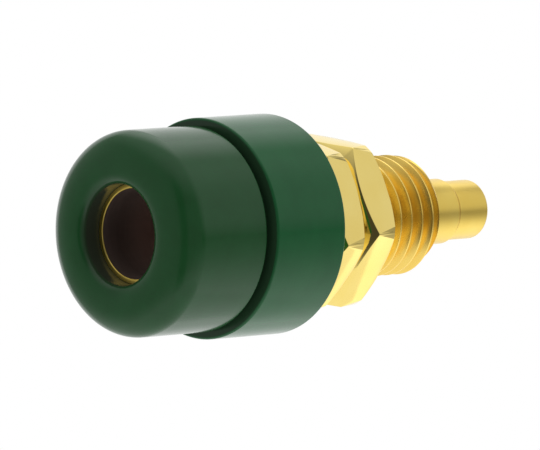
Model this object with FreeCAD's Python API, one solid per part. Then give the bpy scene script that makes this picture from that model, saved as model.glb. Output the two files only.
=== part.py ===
import FreeCAD, Part
import math
import os

# Insulated panel socket for a 4 mm plug: a moulded head on a threaded, gold-plated brass sleeve,
# an insulating bush that closes on the panel from behind, and two hexagon nuts.
# Millimetres. The axis is Y: the mouth faces -Y, the solder pin points to +Y and +Z is up.
# The origin is the centre of the head's flat rear face, which seats on the front of the panel.

# Contact sleeve: bore, nose and anchoring flange
plug_bore_diameter = 4.04
plug_bore_lead_in = 0.2
plug_bore_lead_in_length = 0.9
plug_bore_end_wall = 1.6
drill_point_angle = 118.0
nose_wall = 0.46
nose_length = 1.5
anchor_flange_thickness = 1.2
anchor_flange_overhang = 0.9

# Right-hand thread on the sleeve, at its major diameter, and how far it reaches behind the rear nut
thread_diameter = 6.0
thread_pitch = 0.75
thread_depth_per_pitch = 0.613
thread_root_flat_per_pitch = 0.16
thread_flank_angle = 30.0
thread_behind_nuts = 4.55
thread_end_chamfer = 0.2
thread_start_behind_collar = 0.725
groove_overrun = 0.05

# Solder pin, with a slightly thicker root
pin_diameter = 2.96
pin_shoulder = 0.155
pin_root_length = 2.65
pin_step_length = 0.25
pin_tip_length = 2.05
pin_end_round = 0.22

# Insulating head, which covers the anchoring flange by its side and rear walls
head_side_wall = 1.175
head_rear_wall = 1.47
mouth_depth = 1.33
mouth_lip_width = 0.78
mouth_lip_depth = 0.5
crown_depth = 1.35
head_rear_edge_round = 0.12

# Collar behind the head, which lines the hole in the panel
collar_wall = 0.8
collar_length = 3.9
collar_end_chamfer = 0.3

# Insulating bush, which slides over the collar
bush_side_wall = 1.55
bush_front_gap = 0.35
bush_floor_thickness = 1.12
bush_front_edge_round = 0.12
bush_rear_edge_round = 0.12
bush_boss_wall = 0.5
bush_boss_length = 0.48

# Hexagon nuts: a wide chamfer in front, a slight one behind, and corners turned down towards the rear
nut_wall = 0.95
nut_thickness = 2.1
nut_chamfer_angle = 30.0
nut_front_face_inset = 0.5
nut_rear_face_overhang = 0.05
nut_front_corner_trim = 0.02
nut_rear_corner_trim = 0.17
nut_bore_chamfer = 0.15
front_nut_corner_angle = -11.5
rear_nut_corner_angle = -5.8

# Clearances on the radius
collar_clearance = 0.1
bush_bore_clearance = 0.1
nut_thread_clearance = 0.05

# Radii
bore_radius = plug_bore_diameter / 2
nose_radius = bore_radius + nose_wall
thread_radius = thread_diameter / 2
thread_root_radius = thread_radius - thread_pitch * thread_depth_per_pitch
flange_radius = thread_radius + anchor_flange_overhang
head_radius = flange_radius + head_side_wall
collar_radius = thread_radius + collar_wall
counterbore_radius = collar_radius + collar_clearance
bush_radius = counterbore_radius + bush_side_wall
bush_bore_radius = thread_radius + bush_bore_clearance
nut_bore_radius = thread_radius + nut_thread_clearance
pin_radius = pin_diameter / 2

# Places along the axis
flange_rear = -head_rear_wall
flange_front = flange_rear - anchor_flange_thickness
sleeve_front = flange_front - nose_length
head_front = sleeve_front - mouth_depth
bush_front = bush_front_gap
bush_floor = collar_length
bush_rear = bush_floor + bush_floor_thickness
front_nut_face = bush_rear + bush_boss_length
rear_nut_face = front_nut_face + nut_thickness
thread_end = rear_nut_face + nut_thickness + thread_behind_nuts

ORIGIN = FreeCAD.Vector(0, 0, 0)
AXIS = FreeCAD.Vector(0, 1, 0)
SIDEWAYS = FreeCAD.Vector(1, 0, 0)
QUARTER_TURN = 90.0
HALF_TURN = 180.0
FULL_TURN = 360.0
HEXAGON_SIDES = 6


def point(place):
    """A point of a turned outline, given as its radius and its place along the axis."""
    return FreeCAD.Vector(place[0], place[1], 0)


def line(start, end):
    return Part.LineSegment(point(start), point(end)).toShape()


def polyline(places):
    """The straight edges from each place to the next."""
    return [line(start, end) for start, end in zip(places, places[1:])]


def quarter_oval(start, corner, end):
    """A quarter of a circle or ellipse that replaces a square corner of an outline."""
    curve = Part.BezierCurve()
    curve.setPoles([point(start), point(corner), point(end)])
    curve.setWeight(2, math.cos(math.radians(45)))
    return curve.toShape()


def rounded_corner(corner, radius, before, after):
    """Start and end of the round of a corner that is reached along before and left along after."""
    start = (corner[0] - before[0] * radius, corner[1] - before[1] * radius)
    end = (corner[0] + after[0] * radius, corner[1] + after[1] * radius)
    return start, end


def turned(edges):
    """The solid that a closed outline sweeps once round the axis."""
    face = Part.Face(Part.Wire(edges))
    return face.revolve(ORIGIN, AXIS, FULL_TURN)


OUTWARD = (1, 0)
INWARD = (-1, 0)
REARWARD = (0, 1)


def insulating_head():
    """Domed head with a mouth for the plug, moulded round the sleeve, with a collar behind it."""
    lip = (nose_radius, head_front)
    lip_start = (nose_radius, head_front + mouth_lip_depth)
    lip_end = (nose_radius + mouth_lip_width, head_front)
    crown_corner = (head_radius, head_front)
    shoulder = (head_radius, head_front + crown_depth)
    rear_edge = (head_radius, 0)
    rear_start, rear_end = rounded_corner(rear_edge, head_rear_edge_round, REARWARD, INWARD)
    edges = [
        quarter_oval(lip_start, lip, lip_end),
        quarter_oval(lip_end, crown_corner, shoulder),
        line(shoulder, rear_start),
        quarter_oval(rear_start, rear_edge, rear_end),
    ]
    edges += polyline([
        rear_end,
        (collar_radius, 0),
        (collar_radius, collar_length - collar_end_chamfer),
        (collar_radius - collar_end_chamfer, collar_length),
        (thread_radius, collar_length),
        (thread_radius, flange_rear),
        (flange_radius, flange_rear),
        (flange_radius, flange_front),
        (nose_radius, flange_front),
        lip_start,
    ])
    return turned(edges)


def thread_grooves():
    """The helical groove of the thread, in half turns from behind the collar to past the thread's end."""
    slope = math.tan(math.radians(thread_flank_angle))
    rim_radius = thread_radius + groove_overrun
    half_root = thread_pitch * thread_root_flat_per_pitch / 2
    half_rim = half_root + (rim_radius - thread_root_radius) * slope
    corners = [
        FreeCAD.Vector(thread_root_radius, 0, -half_root),
        FreeCAD.Vector(rim_radius, 0, -half_rim),
        FreeCAD.Vector(rim_radius, 0, half_rim),
        FreeCAD.Vector(thread_root_radius, 0, half_root),
    ]
    half_pitch = thread_pitch / 2
    helix = Part.makeHelix(thread_pitch, half_pitch, thread_radius)
    profile = Part.makePolygon(corners + corners[:1])
    half_turn = Part.Wire(helix.Edges).makePipeShell([profile], True, True)
    half_turn.rotate(ORIGIN, SIDEWAYS, -QUARTER_TURN)
    start_y = collar_length + thread_start_behind_collar
    count = math.ceil((thread_end + half_pitch - start_y) / half_pitch)
    grooves = []
    for step in range(count):
        groove = half_turn.copy()
        groove.rotate(ORIGIN, AXIS, HALF_TURN * (step + 1))
        groove.translate(AXIS * (start_y + half_pitch * step))
        grooves.append(groove)
    return grooves


def contact_sleeve():
    """Turned sleeve: nose with the plug's bore, anchoring flange, thread and solder pin."""
    root_radius = pin_radius + pin_shoulder
    root_end = thread_end + pin_root_length
    tip_start = root_end + pin_step_length
    pin_end = tip_start + pin_tip_length
    pin_edge = (pin_radius, pin_end)
    edge_start, edge_end = rounded_corner(pin_edge, pin_end_round, REARWARD, INWARD)
    bore_end = thread_end - plug_bore_end_wall
    drill_tip = bore_end + bore_radius / math.tan(math.radians(drill_point_angle / 2))
    bore_start = (bore_radius, sleeve_front + plug_bore_lead_in_length)
    edges = polyline([
        bore_start,
        (bore_radius + plug_bore_lead_in, sleeve_front),
        (nose_radius, sleeve_front),
        (nose_radius, flange_front),
        (flange_radius, flange_front),
        (flange_radius, flange_rear),
        (thread_radius, flange_rear),
        (thread_radius, thread_end - thread_end_chamfer),
        (thread_radius - thread_end_chamfer, thread_end),
        (root_radius, thread_end),
        (root_radius, root_end),
        (pin_radius, tip_start),
        edge_start,
    ])
    edges.append(quarter_oval(edge_start, pin_edge, edge_end))
    edges += polyline([
        edge_end,
        (0, pin_end),
        (0, drill_tip),
        (bore_radius, bore_end),
        bore_start,
    ])
    return turned(edges).cut(thread_grooves())


def insulating_bush():
    """Ring that slides over the collar and presses on the back of the panel, with a boss for the nut."""
    boss_radius = bush_bore_radius + bush_boss_wall
    front_edge = (bush_radius, bush_front)
    rear_edge = (bush_radius, bush_rear)
    front_start, front_end = rounded_corner(front_edge, bush_front_edge_round, OUTWARD, REARWARD)
    rear_start, rear_end = rounded_corner(rear_edge, bush_rear_edge_round, REARWARD, INWARD)
    edges = [
        line((counterbore_radius, bush_front), front_start),
        quarter_oval(front_start, front_edge, front_end),
        line(front_end, rear_start),
        quarter_oval(rear_start, rear_edge, rear_end),
    ]
    edges += polyline([
        rear_end,
        (boss_radius, bush_rear),
        (boss_radius, front_nut_face),
        (bush_bore_radius, front_nut_face),
        (bush_bore_radius, bush_floor),
        (counterbore_radius, bush_floor),
        (counterbore_radius, bush_front),
    ])
    return turned(edges)


def nut_envelope(front_y, flat_radius, corner_radius):
    """The turned form that chamfers both faces of a nut, trims its corners and bores it."""
    slope = math.tan(math.radians(nut_chamfer_angle))
    rear_y = front_y + nut_thickness
    front_radius = flat_radius - nut_front_face_inset
    rear_radius = flat_radius + nut_rear_face_overhang
    front_corner = corner_radius - nut_front_corner_trim
    rear_corner = corner_radius - nut_rear_corner_trim
    bore_start = (nut_bore_radius, front_y + nut_bore_chamfer)
    return turned(polyline([
        bore_start,
        (nut_bore_radius + nut_bore_chamfer, front_y),
        (front_radius, front_y),
        (front_corner, front_y + (front_corner - front_radius) * slope),
        (rear_corner, rear_y - (rear_corner - rear_radius) * slope),
        (rear_radius, rear_y),
        (nut_bore_radius + nut_bore_chamfer, rear_y),
        (nut_bore_radius, rear_y - nut_bore_chamfer),
        bore_start,
    ]))


def hexagon_nut(front_y, corner_angle):
    """Thin nut with its front face at front_y. The angle turns a corner from +X towards +Z."""
    flat_radius = nut_bore_radius + nut_wall
    corner_radius = flat_radius / math.cos(math.pi / HEXAGON_SIDES)
    corners = []
    for side in range(HEXAGON_SIDES + 1):
        angle = math.radians(corner_angle + side * FULL_TURN / HEXAGON_SIDES)
        across = corner_radius * math.cos(angle)
        up = corner_radius * math.sin(angle)
        corners.append(FreeCAD.Vector(across, front_y, up))
    prism = Part.Face(Part.makePolygon(corners)).extrude(AXIS * nut_thickness)
    return prism.common(nut_envelope(front_y, flat_radius, corner_radius))


parts = {
    "insulating_head": insulating_head(),
    "contact_sleeve": contact_sleeve(),
    "insulating_bush": insulating_bush(),
    "front_nut": hexagon_nut(front_nut_face, front_nut_corner_angle),
    "rear_nut": hexagon_nut(rear_nut_face, rear_nut_corner_angle),
}

os.makedirs("parts", exist_ok=True)
for name, shape in parts.items():
    solid = shape.Solids[0]
    box = solid.BoundBox
    print(f"{name}: {len(shape.Solids)} solid, valid {solid.isValid()}, {solid.Volume:.2f} mm3, "
          f"Y {box.YMin:.2f} to {box.YMax:.2f}")
    solid.exportStep(os.path.join("parts", name + ".step"))
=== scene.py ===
import math

import bmesh
import bpy
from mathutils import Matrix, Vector


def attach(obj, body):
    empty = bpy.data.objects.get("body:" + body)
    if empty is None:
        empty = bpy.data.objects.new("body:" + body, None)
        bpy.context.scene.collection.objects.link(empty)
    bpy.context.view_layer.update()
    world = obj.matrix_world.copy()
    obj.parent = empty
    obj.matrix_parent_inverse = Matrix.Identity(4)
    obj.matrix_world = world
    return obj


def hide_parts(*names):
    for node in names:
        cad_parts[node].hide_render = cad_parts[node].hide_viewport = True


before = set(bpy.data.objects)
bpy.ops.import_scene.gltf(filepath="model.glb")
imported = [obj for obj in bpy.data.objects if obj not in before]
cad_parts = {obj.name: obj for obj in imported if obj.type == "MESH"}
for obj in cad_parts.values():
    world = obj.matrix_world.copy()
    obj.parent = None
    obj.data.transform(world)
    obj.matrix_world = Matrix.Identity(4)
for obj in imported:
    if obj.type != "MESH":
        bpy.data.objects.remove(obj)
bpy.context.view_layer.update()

# Insulated panel socket for a 4 mm plug. Each of its five solids is replaced by a skin of the same form,
# with finer edges and threads.
# Sizes are in millimetres in the frame of the part: the axis is Y, the mouth faces -Y and +Z is up.
MM = 0.001

# Contact sleeve
bore_radius = 2.02
mouth_radius = 2.22
bore_lead_in = 0.9
bore_end = 12.65
bore_tip = 13.8637
nose_radius = 2.48
flange_radius = 3.9
flange_front = -2.67
flange_rear = -1.47
sleeve_front = -4.17
sleeve_rim_round = 0.045
nose_edge_round = 0.04
thread_radius = 3.0
thread_front = 4.3
thread_end = 14.25
thread_end_chamfer = 0.2
root_radius = 1.635
root_fillet = 0.08
root_end = 16.9
pin_radius = 1.48
tip_start = 17.15
pin_end = 19.2
pin_end_round = 0.22

# Right-hand thread, M6 x 0.75: each phase is a share of the pitch, counted from the middle of a crest
thread_pitch = 0.75
thread_crest_at = 0.6875
thread_profile = [
    (0.0, 3.0), (0.035, 3.0), (0.062, 2.993), (0.085, 2.97), (0.19, 2.835), (0.295, 2.7), (0.4, 2.565),
    (0.43, 2.545), (0.5, 2.54), (0.57, 2.545), (0.6, 2.565), (0.705, 2.7), (0.81, 2.835), (0.915, 2.97),
    (0.938, 2.993), (0.965, 3.0),
]
thread_play = 0.03

# Insulating head and its collar
head_radius = 5.075
head_front = -5.5
crown_depth = 1.35
mouth_lip_width = 0.78
mouth_lip_depth = 0.5
head_rear_edge_round = 0.12
collar_radius = 3.8
collar_length = 3.9
collar_end_chamfer = 0.3

# Insulating bush
bush_radius = 5.45
bush_front = 0.35
bush_floor = 3.9
bush_rear = 5.02
bush_front_edge_round = 0.12
bush_rear_edge_round = 0.12
counterbore_radius = 3.9
counterbore_edge_round = 0.06
boss_radius = 3.6
boss_rear = 5.5
boss_edge_round = 0.06
bush_bore_radius = 3.1

# Nuts. nut_edge_middle is how far the middle of an edge's round lies from the sharp edge, in rounds.
nut_sides = 6
nut_flat_radius = 4.0
nut_thickness = 2.1
nut_front_face_radius = 3.5
nut_front_corner_radius = 4.599
nut_rear_corner_radius = 4.449
nut_rear_face_radius = 4.05
nut_chamfer_slope = math.tan(math.radians(30))
nut_countersink_radius = 3.2
front_nut_face = 5.5
rear_nut_face = 7.6
front_nut_corner = -11.5
rear_nut_corner = -5.8
nut_corner_round = 0.05
nut_edge_round = 0.03
nut_edge_middle = 0.2

# Steps round each turned piece and the floor, and along the quarter of each round
ROUND_STEPS = 192
FLOOR_STEPS = 64
CROWN_STEPS = 40
LIP_STEPS = 16
PIN_END_STEPS = 8
EDGE_STEPS = 6
RIM_STEPS = 4
FINE_EDGE_STEPS = 3

# Edges that turn by more than this stay sharp, and vertices closer than this, in metres, become one
SHARP_ANGLE = math.radians(24)
MERGE_DISTANCE = 1e-7

# Directions in an outline, as steps in radius and y
OUTWARD = (1, 0)
INWARD = (-1, 0)
FORWARD = (0, -1)
REARWARD = (0, 1)


def turn_angles(steps):
    """Even angles round +Y, from +Z towards +X."""
    return [2 * math.pi * step / steps for step in range(steps)]


def place(radius, y, angle):
    """Vector in metres to a radius and y at an angle round the axis."""
    return Vector((radius * math.sin(angle), y, radius * math.cos(angle))) * MM


def quarter(start, corner, end, steps):
    """Places on the quarter circle or ellipse that replaces the corner between start and end."""
    centre = (start[0] + end[0] - corner[0], start[1] + end[1] - corner[1])
    places = []
    for step in range(steps + 1):
        angle = math.pi / 2 * step / steps
        along, across = math.cos(angle), math.sin(angle)
        radius = centre[0] + (start[0] - centre[0]) * along + (end[0] - centre[0]) * across
        y = centre[1] + (start[1] - centre[1]) * along + (end[1] - centre[1]) * across
        places.append((radius, y))
    return places


def rounded(corner, size, before, after, steps=EDGE_STEPS):
    """The corner of an outline, reached along before and left along after, with a round of that size."""
    start = (corner[0] - before[0] * size, corner[1] - before[1] * size)
    end = (corner[0] + after[0] * size, corner[1] + after[1] * size)
    return quarter(start, corner, end, steps)


class Skin:
    """Vertices and faces of a piece that is built ring by ring round the axis."""

    def __init__(self, angles):
        self.angles = angles
        self.vertices = []
        self.faces = []

    def ring(self, radii, ys):
        """Vertices round the axis, one at each angle. Returns their indices."""
        first = len(self.vertices)
        for angle, radius, y in zip(self.angles, radii, ys):
            self.vertices.append(place(radius, y, angle))
        return list(range(first, first + len(self.angles)))

    def plain_ring(self, radius, y):
        count = len(self.angles)
        return self.ring([radius] * count, [y] * count)

    def bridge(self, lower, upper):
        """Faces between two rings."""
        count = len(lower)
        for column in range(count):
            after = (column + 1) % count
            self.faces.append((lower[column], lower[after], upper[after], upper[column]))

    def outline(self, places, start=None):
        """Rings along an outline, joined to the ring before it. Returns the last ring."""
        last = start
        for radius, y in places:
            ring = self.plain_ring(radius, y)
            if last is not None:
                self.bridge(last, ring)
            last = ring
        return last

    def thread(self, y_start, y_end, play, limit, start=None):
        """A wall that follows the thread's helix from y_start to y_end. Returns its first and last ring.

        Each row climbs one pitch round the axis, so rows start before y_start and end past y_end.
        """
        count = len(self.angles)
        phases = [phase for phase, _ in thread_profile]
        per_turn = len(phases)
        first_turn = math.floor((y_start - thread_crest_at) / thread_pitch) - 2
        last_turn = math.ceil((y_end - thread_crest_at) / thread_pitch) + 1
        rows = []
        for turn in range(first_turn, last_turn + 1):
            for phase in phases:
                radii = []
                ys = []
                for angle in self.angles:
                    turned = angle / (2 * math.pi)
                    y = thread_crest_at + thread_pitch * (turn + phase + turned)
                    y = min(max(y, y_start), y_end)
                    on_pitch = (y - thread_crest_at) / thread_pitch - turned
                    radii.append(limit(thread_wall(on_pitch % 1.0) + play, y))
                    ys.append(y)
                rows.append(self.ring(radii, ys))
        for row, ahead in zip(rows, rows[1:]):
            for column in range(count - 1):
                self.faces.append((row[column], row[column + 1], ahead[column + 1], ahead[column]))
        for row in range(len(rows) - per_turn - 1):
            above = row + per_turn
            self.faces.append((rows[row][-1], rows[above][0], rows[above + 1][0], rows[row + 1][-1]))
        if start is not None:
            self.bridge(start, rows[0])
        return rows[0], rows[-1]

    def piece(self, name):
        """The object, with its doubled vertices merged and its normals turned outwards."""
        mesh = bpy.data.meshes.new(name)
        mesh.from_pydata(self.vertices, [], self.faces)
        work = bmesh.new()
        work.from_mesh(mesh)
        bmesh.ops.remove_doubles(work, verts=work.verts, dist=MERGE_DISTANCE)
        bmesh.ops.dissolve_degenerate(work, edges=work.edges, dist=MERGE_DISTANCE)
        bmesh.ops.recalc_face_normals(work, faces=work.faces)
        work.to_mesh(mesh)
        work.free()
        mesh.shade_smooth()
        mesh.set_sharp_from_angle(angle=SHARP_ANGLE)
        obj = bpy.data.objects.new(name, mesh)
        bpy.context.scene.collection.objects.link(obj)
        weighted = obj.modifiers.new("Even shading", "WEIGHTED_NORMAL")
        weighted.keep_sharp = True
        return obj


def thread_wall(phase):
    """Radius of the outside thread at a phase of the pitch."""
    places = thread_profile + [(1.0, thread_radius)]
    for (low, low_radius), (high, high_radius) in zip(places, places[1:]):
        if phase <= high:
            share = (phase - low) / (high - low)
            return low_radius + (high_radius - low_radius) * share
    return thread_radius


def insulating_head():
    skin = Skin(turn_angles(ROUND_STEPS))
    lip = (nose_radius, head_front)
    lip_start = (nose_radius, head_front + mouth_lip_depth)
    lip_end = (nose_radius + mouth_lip_width, head_front)
    lip_places = quarter(lip_start, lip, lip_end, LIP_STEPS)
    crown_corner = (head_radius, head_front)
    crown_end = (head_radius, head_front + crown_depth)
    places = [(nose_radius, flange_front)]
    places += lip_places
    places += quarter(lip_places[-1], crown_corner, crown_end, CROWN_STEPS)[1:]
    places += rounded((head_radius, 0), head_rear_edge_round, REARWARD, INWARD)
    places += [
        (collar_radius, 0),
        (collar_radius, collar_length - collar_end_chamfer),
        (collar_radius - collar_end_chamfer, collar_length),
        (thread_radius, collar_length),
        (thread_radius, flange_rear),
        (flange_radius, flange_rear),
        (flange_radius, flange_front),
        (nose_radius, flange_front),
    ]
    skin.outline(places)
    return skin.piece("moulded_head")


def contact_sleeve():
    skin = Skin(turn_angles(ROUND_STEPS))

    def chamfered(radius, y):
        return min(radius, thread_radius - max(0.0, y - (thread_end - thread_end_chamfer)))

    front_places = [
        (0.0, bore_tip),
        (bore_radius, bore_end),
        (bore_radius, sleeve_front + bore_lead_in),
    ]
    front_places += rounded((mouth_radius, sleeve_front), sleeve_rim_round, FORWARD, OUTWARD, RIM_STEPS)
    front_places += rounded(
        (nose_radius, sleeve_front), nose_edge_round, OUTWARD, REARWARD, FINE_EDGE_STEPS)
    front_places += [
        (nose_radius, flange_front),
        (flange_radius, flange_front),
        (flange_radius, flange_rear),
        (thread_radius, flange_rear),
        (thread_radius, thread_front),
    ]
    last = skin.outline(front_places)
    _, last = skin.thread(thread_front, thread_end, play=0.0, limit=chamfered, start=last)
    rear_places = rounded((root_radius, thread_end), root_fillet, INWARD, REARWARD, RIM_STEPS)
    rear_places += [(root_radius, root_end), (pin_radius, tip_start)]
    rear_places += rounded((pin_radius, pin_end), pin_end_round, REARWARD, INWARD, PIN_END_STEPS)
    rear_places += [(0.0, pin_end)]
    skin.outline(rear_places, start=last)
    return skin.piece("threaded_sleeve")


def insulating_bush():
    skin = Skin(turn_angles(ROUND_STEPS))
    places = rounded(
        (counterbore_radius, bush_front), counterbore_edge_round, FORWARD, OUTWARD, FINE_EDGE_STEPS)
    places += rounded((bush_radius, bush_front), bush_front_edge_round, OUTWARD, REARWARD)
    places += rounded((bush_radius, bush_rear), bush_rear_edge_round, REARWARD, INWARD)
    places += [(boss_radius, bush_rear)]
    places += rounded((boss_radius, boss_rear), boss_edge_round, REARWARD, INWARD, FINE_EDGE_STEPS)
    places += [
        (bush_bore_radius, boss_rear),
        (bush_bore_radius, bush_floor),
        (counterbore_radius, bush_floor),
        places[0],
    ]
    skin.outline(places)
    return skin.piece("sliding_bush")


# Columns of a nut from a corner to the middle of the next side, in degrees. They lie closest together
# where the corner is trimmed.
side_degrees = 360 / nut_sides
corner_columns = [
    0.0, 0.12, 0.25, 0.4, 0.7, 1.1, 1.5, 1.9, 2.3, 2.7, 3.0, 3.3, 4.0, 6.0, 9.0, 13.0, 17.0, 21.5, 26.0,
    side_degrees / 2,
]


def nut_angles(corner):
    """Column angles round +Y for a nut whose corner is turned from +X towards +Z by that many degrees."""
    offsets = corner_columns + [side_degrees - offset for offset in reversed(corner_columns[1:-1])]
    degrees = []
    for side in range(nut_sides):
        for offset in offsets:
            degrees.append((90 - corner + side_degrees * side + offset) % 360)
    return [math.radians(value) for value in sorted(degrees)]


def hexagon_radius(angle, corner):
    """Distance from the axis to the side of the nut, whose corners are rounded."""
    from_corner = (math.degrees(angle) - (90 - corner)) % side_degrees
    from_corner = math.radians(min(from_corner, side_degrees - from_corner))
    half = math.pi / nut_sides
    to_centre = (nut_flat_radius - nut_corner_round) / math.cos(half)
    round_ends = math.atan2(
        nut_corner_round * math.sin(half), to_centre + nut_corner_round * math.cos(half))
    if from_corner > round_ends:
        return nut_flat_radius / math.cos(half - from_corner)
    across = to_centre * math.sin(from_corner)
    return to_centre * math.cos(from_corner) + math.sqrt(nut_corner_round ** 2 - across ** 2)


def hexagon_nut(name, front, corner):
    """Nut with a wide chamfer in front, a slight one behind, and corners turned down towards the rear."""
    angles = nut_angles(corner)
    skin = Skin(angles)
    rear = front + nut_thickness
    edge = nut_edge_round
    near = nut_edge_middle * edge
    far = (1 - nut_edge_middle) * edge

    def front_chamfer(radius):
        return front + (radius - nut_front_face_radius) * nut_chamfer_slope

    def rear_chamfer(radius):
        return rear - max(0.0, radius - nut_rear_face_radius) * nut_chamfer_slope

    def countersunk(radius, y):
        depth = min(y - front, rear - y)
        return max(radius, nut_countersink_radius - depth)

    trim_front = front_chamfer(nut_front_corner_radius)
    trim_rear = rear_chamfer(nut_rear_corner_radius)
    trim_depth = nut_front_corner_radius - nut_rear_corner_radius

    columns = []
    for angle in angles:
        side = min(hexagon_radius(angle, corner), nut_front_corner_radius)
        rear_side = min(side, nut_rear_corner_radius)
        side_front = front_chamfer(side)
        side_rear = rear_chamfer(rear_side)
        trimmed = min((nut_front_corner_radius - side) / trim_depth, 1.0)
        side_trim = trim_front + trimmed * (trim_rear - trim_front) - edge
        side_trim = max(side_trim, side_front + 2 * edge)
        columns.append([
            (min(nut_rear_face_radius, rear_side) - edge, rear),
            (rear_side - far, rear_chamfer(rear_side - far)),
            (rear_side - near, side_rear - near),
            (rear_side, side_rear - edge),
            (side, side_trim),
            (side, side_front + edge),
            (side - near, side_front + near),
            (side - edge, front_chamfer(side - edge)),
            (nut_front_face_radius + edge, front_chamfer(nut_front_face_radius + edge)),
            (nut_front_face_radius - edge, front),
        ])
    first, last = skin.thread(front, rear, play=thread_play, limit=countersunk)
    for places in zip(*columns):
        ring = skin.ring([radius for radius, _ in places], [y for _, y in places])
        skin.bridge(last, ring)
        last = ring
    skin.bridge(last, first)
    return skin.piece(name)


# Looks. Noise turns a colour from deep to bright within the tint spread. The edges of specks are in cells
# of their pattern. The bore's painted shade turns to its lighter far colour, painted light, between two
# places on the axis.
TINT_SPREAD = (0.3, 0.7)
GREEN_IOR = 1.5
GREEN_GLOSS = 0.26
GREEN_ROUGHNESS = (0.10, 0.20)
SPECK_SCALE = 420
SPECK_EDGES = (0.012, 0.034)
SPECK_SHARE = 0.35
SPECK_COLOUR = (0.16, 0.30, 0.22)
BORE_PAINTED_LIGHT_FADE = (-3.6, -0.6)
BORE_ROUGHNESS = 0.6


def link(tree, out_socket, in_socket):
    tree.links.new(out_socket, in_socket)


def new_material(name):
    """A new material, its nodes and its shader."""
    material = bpy.data.materials.new(name)
    material.use_nodes = True
    tree = material.node_tree
    shader = tree.nodes["Principled BSDF"]
    return material, tree, shader


def math_node(tree, operation, *values):
    """Result of a sum on values, each a number or the output of a node."""
    node = tree.nodes.new("ShaderNodeMath")
    node.operation = operation
    for socket, value in zip(node.inputs, values):
        if isinstance(value, float):
            socket.default_value = value
        else:
            link(tree, value, socket)
    return node.outputs[0]


def surface_place(tree):
    """Where the surface is in the frame of the part, in metres."""
    return tree.nodes.new("ShaderNodeTexCoord").outputs["Object"]


def surface_noise(tree, scale, detail, stretch=(1, 1, 1)):
    """Noise over the piece. Scale counts features in a metre."""
    mapping = tree.nodes.new("ShaderNodeMapping")
    mapping.inputs["Scale"].default_value = stretch
    noise = tree.nodes.new("ShaderNodeTexNoise")
    noise.inputs["Scale"].default_value = scale
    noise.inputs["Detail"].default_value = detail
    link(tree, surface_place(tree), mapping.inputs["Vector"])
    link(tree, mapping.outputs["Vector"], noise.inputs["Vector"])
    return noise.outputs["Fac"]


def ranged(tree, value, low, high):
    """The value from 0 to 1 spread from low to high."""
    spread = tree.nodes.new("ShaderNodeMapRange")
    spread.inputs["To Min"].default_value = low
    spread.inputs["To Max"].default_value = high
    link(tree, value, spread.inputs["Value"])
    return spread.outputs["Result"]


def two_tints(tree, factor, deep, bright):
    """Colour from deep to bright as the factor rises."""
    tint = tree.nodes.new("ShaderNodeValToRGB")
    for element, position, colour in zip(tint.color_ramp.elements, TINT_SPREAD, (deep, bright)):
        element.position = position
        element.color = (*colour, 1)
    link(tree, factor, tint.inputs["Fac"])
    return tint.outputs["Color"]


def relief(tree, height, depth, strength, under=None):
    """Normal of a surface with small heights, of that depth in metres, on top of the relief under it."""
    node = tree.nodes.new("ShaderNodeBump")
    node.inputs["Distance"].default_value = depth
    node.inputs["Strength"].default_value = strength
    link(tree, height, node.inputs["Height"])
    if under is not None:
        link(tree, under, node.inputs["Normal"])
    return node.outputs["Normal"]


def turning_marks(tree, strength):
    """Fine marks that a cutting tool leaves round the axis."""
    marks = surface_noise(tree, scale=400, detail=3, stretch=(1, 40, 1))
    return relief(tree, marks, depth=0.00001, strength=strength)


def place_along_axis(tree):
    """Where the surface is along the axis of the part, in metres."""
    parts = tree.nodes.new("ShaderNodeSeparateXYZ")
    link(tree, surface_place(tree), parts.inputs[0])
    return parts.outputs["Y"]


def radius_from_axis(tree):
    """Distance of the surface from the axis of the part, in metres."""
    flat = tree.nodes.new("ShaderNodeVectorMath")
    flat.operation = "MULTIPLY"
    flat.inputs[1].default_value = (1, 0, 1)
    length = tree.nodes.new("ShaderNodeVectorMath")
    length.operation = "LENGTH"
    link(tree, surface_place(tree), flat.inputs[0])
    link(tree, flat.outputs["Vector"], length.inputs[0])
    return length.outputs["Value"]


def soft_step(tree, value, edges, low, high):
    """The low level below the first edge, changing smoothly to the high level at the second."""
    step = tree.nodes.new("ShaderNodeMapRange")
    step.interpolation_type = "SMOOTHSTEP"
    step.inputs["From Min"].default_value = edges[0]
    step.inputs["From Max"].default_value = edges[1]
    step.inputs["To Min"].default_value = low
    step.inputs["To Max"].default_value = high
    link(tree, value, step.inputs["Value"])
    return step.outputs["Result"]


def mixed_colour(tree, factor, first, second):
    """The first colour, or the second where the factor is 1. The second is a plain colour."""
    mix = tree.nodes.new("ShaderNodeMix")
    mix.data_type = "RGBA"
    mix.inputs["B"].default_value = (*second, 1)
    link(tree, factor, mix.inputs["Factor"])
    link(tree, first, mix.inputs["A"])
    return mix.outputs["Result"]


def painted_shade_zone(tree, radii, ys):
    """Where painted shade lies: full within the first radius and gone by the second, and growing from the
    first y to the second.
    """
    inside = soft_step(tree, radius_from_axis(tree), [radius * MM for radius in radii], 1.0, 0.0)
    behind = soft_step(tree, place_along_axis(tree), [y * MM for y in ys], 0.0, 1.0)
    return math_node(tree, "MULTIPLY", inside, behind)


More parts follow.
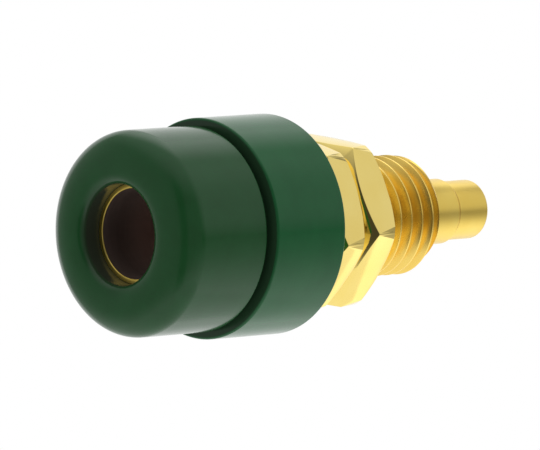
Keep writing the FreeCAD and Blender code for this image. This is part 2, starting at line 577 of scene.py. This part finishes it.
def green_plastic(name, deep, bright, painted_shade_colour, painted_shade_radii, painted_shade_ys):
    """Moulded insulation between two greens, with a faint grain, a few specks and a zone of painted
    shade.
    """
    material, tree, shader = new_material(name)
    shader.inputs["IOR"].default_value = GREEN_IOR
    shader.inputs["Specular IOR Level"].default_value = GREEN_GLOSS
    mottle = surface_noise(tree, scale=900, detail=3)
    colour = two_tints(tree, mottle, deep, bright)

    specks = tree.nodes.new("ShaderNodeTexVoronoi")
    specks.inputs["Scale"].default_value = SPECK_SCALE
    link(tree, surface_place(tree), specks.inputs["Vector"])
    dust = soft_step(tree, specks.outputs["Distance"], SPECK_EDGES, SPECK_SHARE, 0.0)
    colour = mixed_colour(tree, dust, colour, SPECK_COLOUR)
    # Painted shade: a dull dark colour laid over the green in the zone, standing in for shade in a recess
    # or a gap.
    colour = mixed_colour(tree, painted_shade_zone(tree, painted_shade_radii, painted_shade_ys), colour, painted_shade_colour)
    link(tree, colour, shader.inputs["Base Color"])

    smear = surface_noise(tree, scale=260, detail=4)
    link(tree, ranged(tree, smear, *GREEN_ROUGHNESS), shader.inputs["Roughness"])
    wave = surface_noise(tree, scale=300, detail=2)
    grain = surface_noise(tree, scale=9000, detail=2)
    normal = relief(tree, wave, depth=0.00002, strength=0.25)
    normal = relief(tree, grain, depth=0.000002, strength=0.15, under=normal)
    link(tree, normal, shader.inputs["Normal"])
    return material


def bore_shadow(deep, bright, far):
    """Painted shade for the inside of the sleeve's bore: a dull dark brown, turned and stained. Far down
    it has the lighter far colour, painted light.
    """
    material, tree, shader = new_material("bore_shadow")
    stain = surface_noise(tree, scale=700, detail=4, stretch=(1, 6, 1))
    # Painted light: deeper in the bore the painted shade turns to the lighter far colour.
    deep_painted_light = soft_step(tree, place_along_axis(tree), [y * MM for y in BORE_PAINTED_LIGHT_FADE], 0.0, 1.0)
    colour = mixed_colour(tree, deep_painted_light, two_tints(tree, stain, deep, bright), far)
    link(tree, colour, shader.inputs["Base Color"])
    shader.inputs["Roughness"].default_value = BORE_ROUGHNESS
    link(tree, turning_marks(tree, strength=0.25), shader.inputs["Normal"])
    return material


def gold_plate(name, deep, bright, roughness, turning):
    """Gold plating on brass between two colours. Turning is the strength of the marks round the axis."""
    material, tree, shader = new_material(name)
    shader.inputs["Metallic"].default_value = 1.0
    warm = surface_noise(tree, scale=500, detail=4)
    link(tree, two_tints(tree, warm, deep, bright), shader.inputs["Base Color"])
    smear = surface_noise(tree, scale=700, detail=3)
    link(tree, ranged(tree, smear, *roughness), shader.inputs["Roughness"])
    pits = surface_noise(tree, scale=4000, detail=2)
    normal = relief(tree, pits, depth=0.000003, strength=0.12, under=turning_marks(tree, turning))
    link(tree, normal, shader.inputs["Normal"])
    return material


# The head's painted shade darkens the wall of the mouth's recess.
head_green = green_plastic(
    "green_insulation_head",
    deep=(0.0155, 0.088, 0.0250), bright=(0.0172, 0.099, 0.0290),
    painted_shade_colour=(0.052, 0.068, 0.044), painted_shade_radii=(2.62, 2.82), painted_shade_ys=(-5.38, -4.90))
# The bush's painted shade darkens its front face, where it lies in the gap behind the head.
bush_green = green_plastic(
    "green_insulation_bush",
    deep=(0.0110, 0.117, 0.0350), bright=(0.0132, 0.131, 0.0400),
    painted_shade_colour=(0.028, 0.072, 0.034), painted_shade_radii=(5.28, 5.40), painted_shade_ys=(0.65, 0.50))
polished_gold = gold_plate(
    "gold_plate_polished",
    deep=(0.95, 0.735, 0.215), bright=(0.98, 0.785, 0.26), roughness=(0.05, 0.12), turning=0.02)
turned_gold = gold_plate(
    "gold_plate_turned",
    deep=(0.87, 0.615, 0.120), bright=(0.90, 0.68, 0.165), roughness=(0.24, 0.36), turning=0.25)
thread_gold = gold_plate(
    "gold_plate_thread",
    deep=(0.92, 0.61, 0.12), bright=(0.97, 0.71, 0.18), roughness=(0.20, 0.34), turning=0.25)
# Painted shade inside the bore: dark brown tints near the mouth, and the far colour as painted light
# deeper in.
bore_painted_shade = bore_shadow(deep=(0.095, 0.064, 0.054), bright=(0.125, 0.085, 0.072), far=(0.58, 0.40, 0.34))

# The sleeve's zones of other material: their places among its materials, and how far they keep from edges
THREAD_SLOT = 1
BORE_SLOT = 2
ZONE_MARGIN = 0.05


def sleeve_zones(sleeve):
    """Gives the thread a duller and deeper gold than the rest of the sleeve, and the bore its painted
    shade.
    """
    sleeve.data.materials.append(thread_gold)
    sleeve.data.materials.append(bore_painted_shade)
    for face in sleeve.data.polygons:
        centre = face.center / MM
        radius = math.hypot(centre.x, centre.z)
        if radius < mouth_radius and sleeve_front + ZONE_MARGIN < centre.y < bore_tip:
            face.material_index = BORE_SLOT
        elif thread_front < centre.y < thread_end and radius > root_radius + ZONE_MARGIN:
            face.material_index = THREAD_SLOT


pieces = [
    (insulating_head(), "socket", "insulating_head", "green_insulation", head_green),
    (contact_sleeve(), "socket", "contact_sleeve", "gold_plated_brass", turned_gold),
    (insulating_bush(), "bush", "insulating_bush", "green_insulation", bush_green),
    (hexagon_nut("hexagon_nut_front", front_nut_face, front_nut_corner),
     "front_nut", "front_nut", "gold_plated_brass", polished_gold),
    (hexagon_nut("hexagon_nut_rear", rear_nut_face, rear_nut_corner),
     "rear_nut", "rear_nut", "gold_plated_brass", polished_gold),
]
for piece, body, node, slot, material in pieces:
    piece.data.materials.append(material)
    if node == "contact_sleeve":
        sleeve_zones(piece)
    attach(piece, body)
    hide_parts(node)

# Camera: where the photograph was taken from. The offset sets the part left of the picture's middle.
CAMERA_AZIMUTH = math.radians(45.34)
CAMERA_ELEVATION = math.radians(4.33)
CAMERA_DISTANCE = 490.2
CAMERA_LENS = 666.7
CAMERA_SENSOR = 36
CAMERA_CLIP = (0.01, 10)
CAMERA_RIGHT = 3.67
CAMERA_UP = 0.205

to_camera = Vector((
    math.cos(CAMERA_ELEVATION) * math.sin(CAMERA_AZIMUTH),
    -math.cos(CAMERA_ELEVATION) * math.cos(CAMERA_AZIMUTH),
    math.sin(CAMERA_ELEVATION)))
camera_right = Vector((math.cos(CAMERA_AZIMUTH), math.sin(CAMERA_AZIMUTH), 0))
camera_up = to_camera.cross(camera_right)


def add_camera():
    lens = bpy.data.cameras.new("camera")
    lens.lens = CAMERA_LENS
    lens.sensor_width = CAMERA_SENSOR
    lens.clip_start, lens.clip_end = CAMERA_CLIP
    camera = bpy.data.objects.new("camera", lens)
    offset = camera_right * CAMERA_RIGHT + camera_up * CAMERA_UP
    camera.location = (to_camera * CAMERA_DISTANCE + offset) * MM
    camera.rotation_mode = "QUATERNION"
    camera.rotation_quaternion = (-to_camera).to_track_quat("-Z", "Y")
    bpy.context.scene.collection.objects.link(camera)
    bpy.context.scene.camera = camera


add_camera()

# Room: a white backdrop, soft light from above and below, plain walls, a dim horizon on the right, and a
# dark strip where the camera stands. Azimuths run from the backdrop to the picture's right, in degrees.
# Each light has an azimuth, an elevation, the cosines at which it starts and is full, and a level. The
# horizon's band and line each have the heights at which they start, are full, begin to fade and end.
WHITE = (1, 1, 1)
WALL_LEVEL = 0.28
BACKDROP_LEVEL = 0.72
BACKDROP_EDGES = (0.68, 0.80)
room_lights = {
    "top_box": (0, 56, (0.84, 1.0), 1.1),
    "ceiling": (0, 90, (0.52, 1.0), 0.70),
    "table": (60, -80, (0.19, 1.0), 1.12),
    "right_wall": (84, 24, (0.74, 0.99), 0.46),
    "left_wall": (270, 0, (0.20, 0.90), 0.16),
}
HORIZON_LEVEL = -0.13
HORIZON_SIDE = (0.78, 0.90)
HORIZON_BAND = (-0.25, -0.12, 0.03, 0.12)
HORIZON_LINE_LEVEL = -0.18
HORIZON_LINE = (-0.11, -0.07, -0.05, -0.01)
STRIP_AZIMUTH = 199
STRIP_DARKNESS = -0.80
STRIP_FACING = (0.6, 0.92)
STRIP_EDGES = (0.10, 0.28)
FLOOR_HEIGHT = -60.0
FLOOR_RADIUS = 60.0
FLOOR_COLOUR = (0.85, 0.85, 0.85, 1)
FLOOR_ROUGHNESS = 0.9
FLOOR_GLOW = 1.03
FLOOR_GLOW_SHARE = 0.88

backdrop = Vector((-camera_right.y, camera_right.x, 0))


def room_direction(azimuth, elevation):
    """Direction in the room. The azimuth runs from the backdrop to the picture's right, in degrees."""
    turn = math.radians(azimuth)
    rise = math.radians(elevation)
    level = camera_right * math.sin(turn) + backdrop * math.cos(turn)
    return level * math.cos(rise) + Vector((0, 0, math.sin(rise)))


def reach(tree, vector, direction):
    """How far the vector reaches along a direction."""
    node = tree.nodes.new("ShaderNodeVectorMath")
    node.operation = "DOT_PRODUCT"
    node.inputs[1].default_value = direction
    link(tree, vector, node.inputs[0])
    return node.outputs["Value"]


def light_room():
    """The world: white to the camera, and a lit room to the part."""
    world = bpy.data.worlds.new("studio")
    bpy.context.scene.world = world
    world.use_nodes = True
    tree = world.node_tree
    background = tree.nodes["Background"]
    direction = tree.nodes.new("ShaderNodeTexCoord").outputs["Generated"]

    to_backdrop = reach(tree, direction, room_direction(0, 0))
    backdrop_share = soft_step(tree, to_backdrop, BACKDROP_EDGES, 0.0, 1.0)
    room = math_node(tree, "ADD", math_node(tree, "MULTIPLY", backdrop_share, BACKDROP_LEVEL), WALL_LEVEL)
    for azimuth, elevation, edges, level in room_lights.values():
        along = reach(tree, direction, room_direction(azimuth, elevation))
        room = math_node(tree, "ADD", room, soft_step(tree, along, edges, 0.0, level))
    height = reach(tree, direction, room_direction(0, 90))
    rightward = reach(tree, direction, room_direction(90, 0))
    for edges, level in ((HORIZON_BAND, HORIZON_LEVEL), (HORIZON_LINE, HORIZON_LINE_LEVEL)):
        band = math_node(
            tree, "MULTIPLY",
            soft_step(tree, height, edges[:2], 0.0, 1.0),
            soft_step(tree, height, edges[2:], 1.0, 0.0))
        band = math_node(tree, "MULTIPLY", band, soft_step(tree, rightward, HORIZON_SIDE, 0.0, level))
        room = math_node(tree, "ADD", room, band)
    facing = reach(tree, direction, room_direction(STRIP_AZIMUTH, 0))
    across = reach(tree, direction, room_direction(STRIP_AZIMUTH + 90, 0))
    strip = math_node(
        tree, "MULTIPLY",
        soft_step(tree, facing, STRIP_FACING, 0.0, STRIP_DARKNESS),
        soft_step(tree, math_node(tree, "ABSOLUTE", across), STRIP_EDGES, 1.0, 0.0))
    room = math_node(tree, "MULTIPLY", room, math_node(tree, "ADD", strip, 1.0))

    # The camera sees white all round, and metal sees the same white where the backdrop is
    paths = tree.nodes.new("ShaderNodeLightPath")
    bounced = math_node(tree, "ADD", paths.outputs["Is Glossy Ray"], paths.outputs["Is Transmission Ray"])
    bounced = math_node(tree, "MULTIPLY", bounced, backdrop_share)
    seen = math_node(tree, "ADD", paths.outputs["Is Camera Ray"], bounced)
    link(tree, mixed_colour(tree, seen, room, WHITE), background.inputs["Color"])


def add_floor():
    """A pale floor far below the part, which glows so that it looks white."""
    floor_skin = Skin(turn_angles(FLOOR_STEPS))
    floor_skin.outline([(0.0, 0.0), (FLOOR_RADIUS, 0.0)])
    floor = floor_skin.piece("floor")
    floor.modifiers.clear()
    floor.rotation_euler = (math.pi / 2, 0, 0)
    floor.location = (0, 0, FLOOR_HEIGHT * MM)
    floor_material, tree, shader = new_material("pale_floor")
    shader.inputs["Base Color"].default_value = FLOOR_COLOUR
    shader.inputs["Roughness"].default_value = FLOOR_ROUGHNESS
    glow = tree.nodes.new("ShaderNodeEmission")
    glow.inputs["Strength"].default_value = FLOOR_GLOW
    blend = tree.nodes.new("ShaderNodeMixShader")
    blend.inputs["Fac"].default_value = FLOOR_GLOW_SHARE
    link(tree, shader.outputs["BSDF"], blend.inputs[1])
    link(tree, glow.outputs["Emission"], blend.inputs[2])
    link(tree, blend.outputs["Shader"], tree.nodes["Material Output"].inputs["Surface"])
    floor.data.materials.append(floor_material)
    return floor


light_room()
floor = add_floor()

bpy.context.scene.view_settings.view_transform = "Standard"
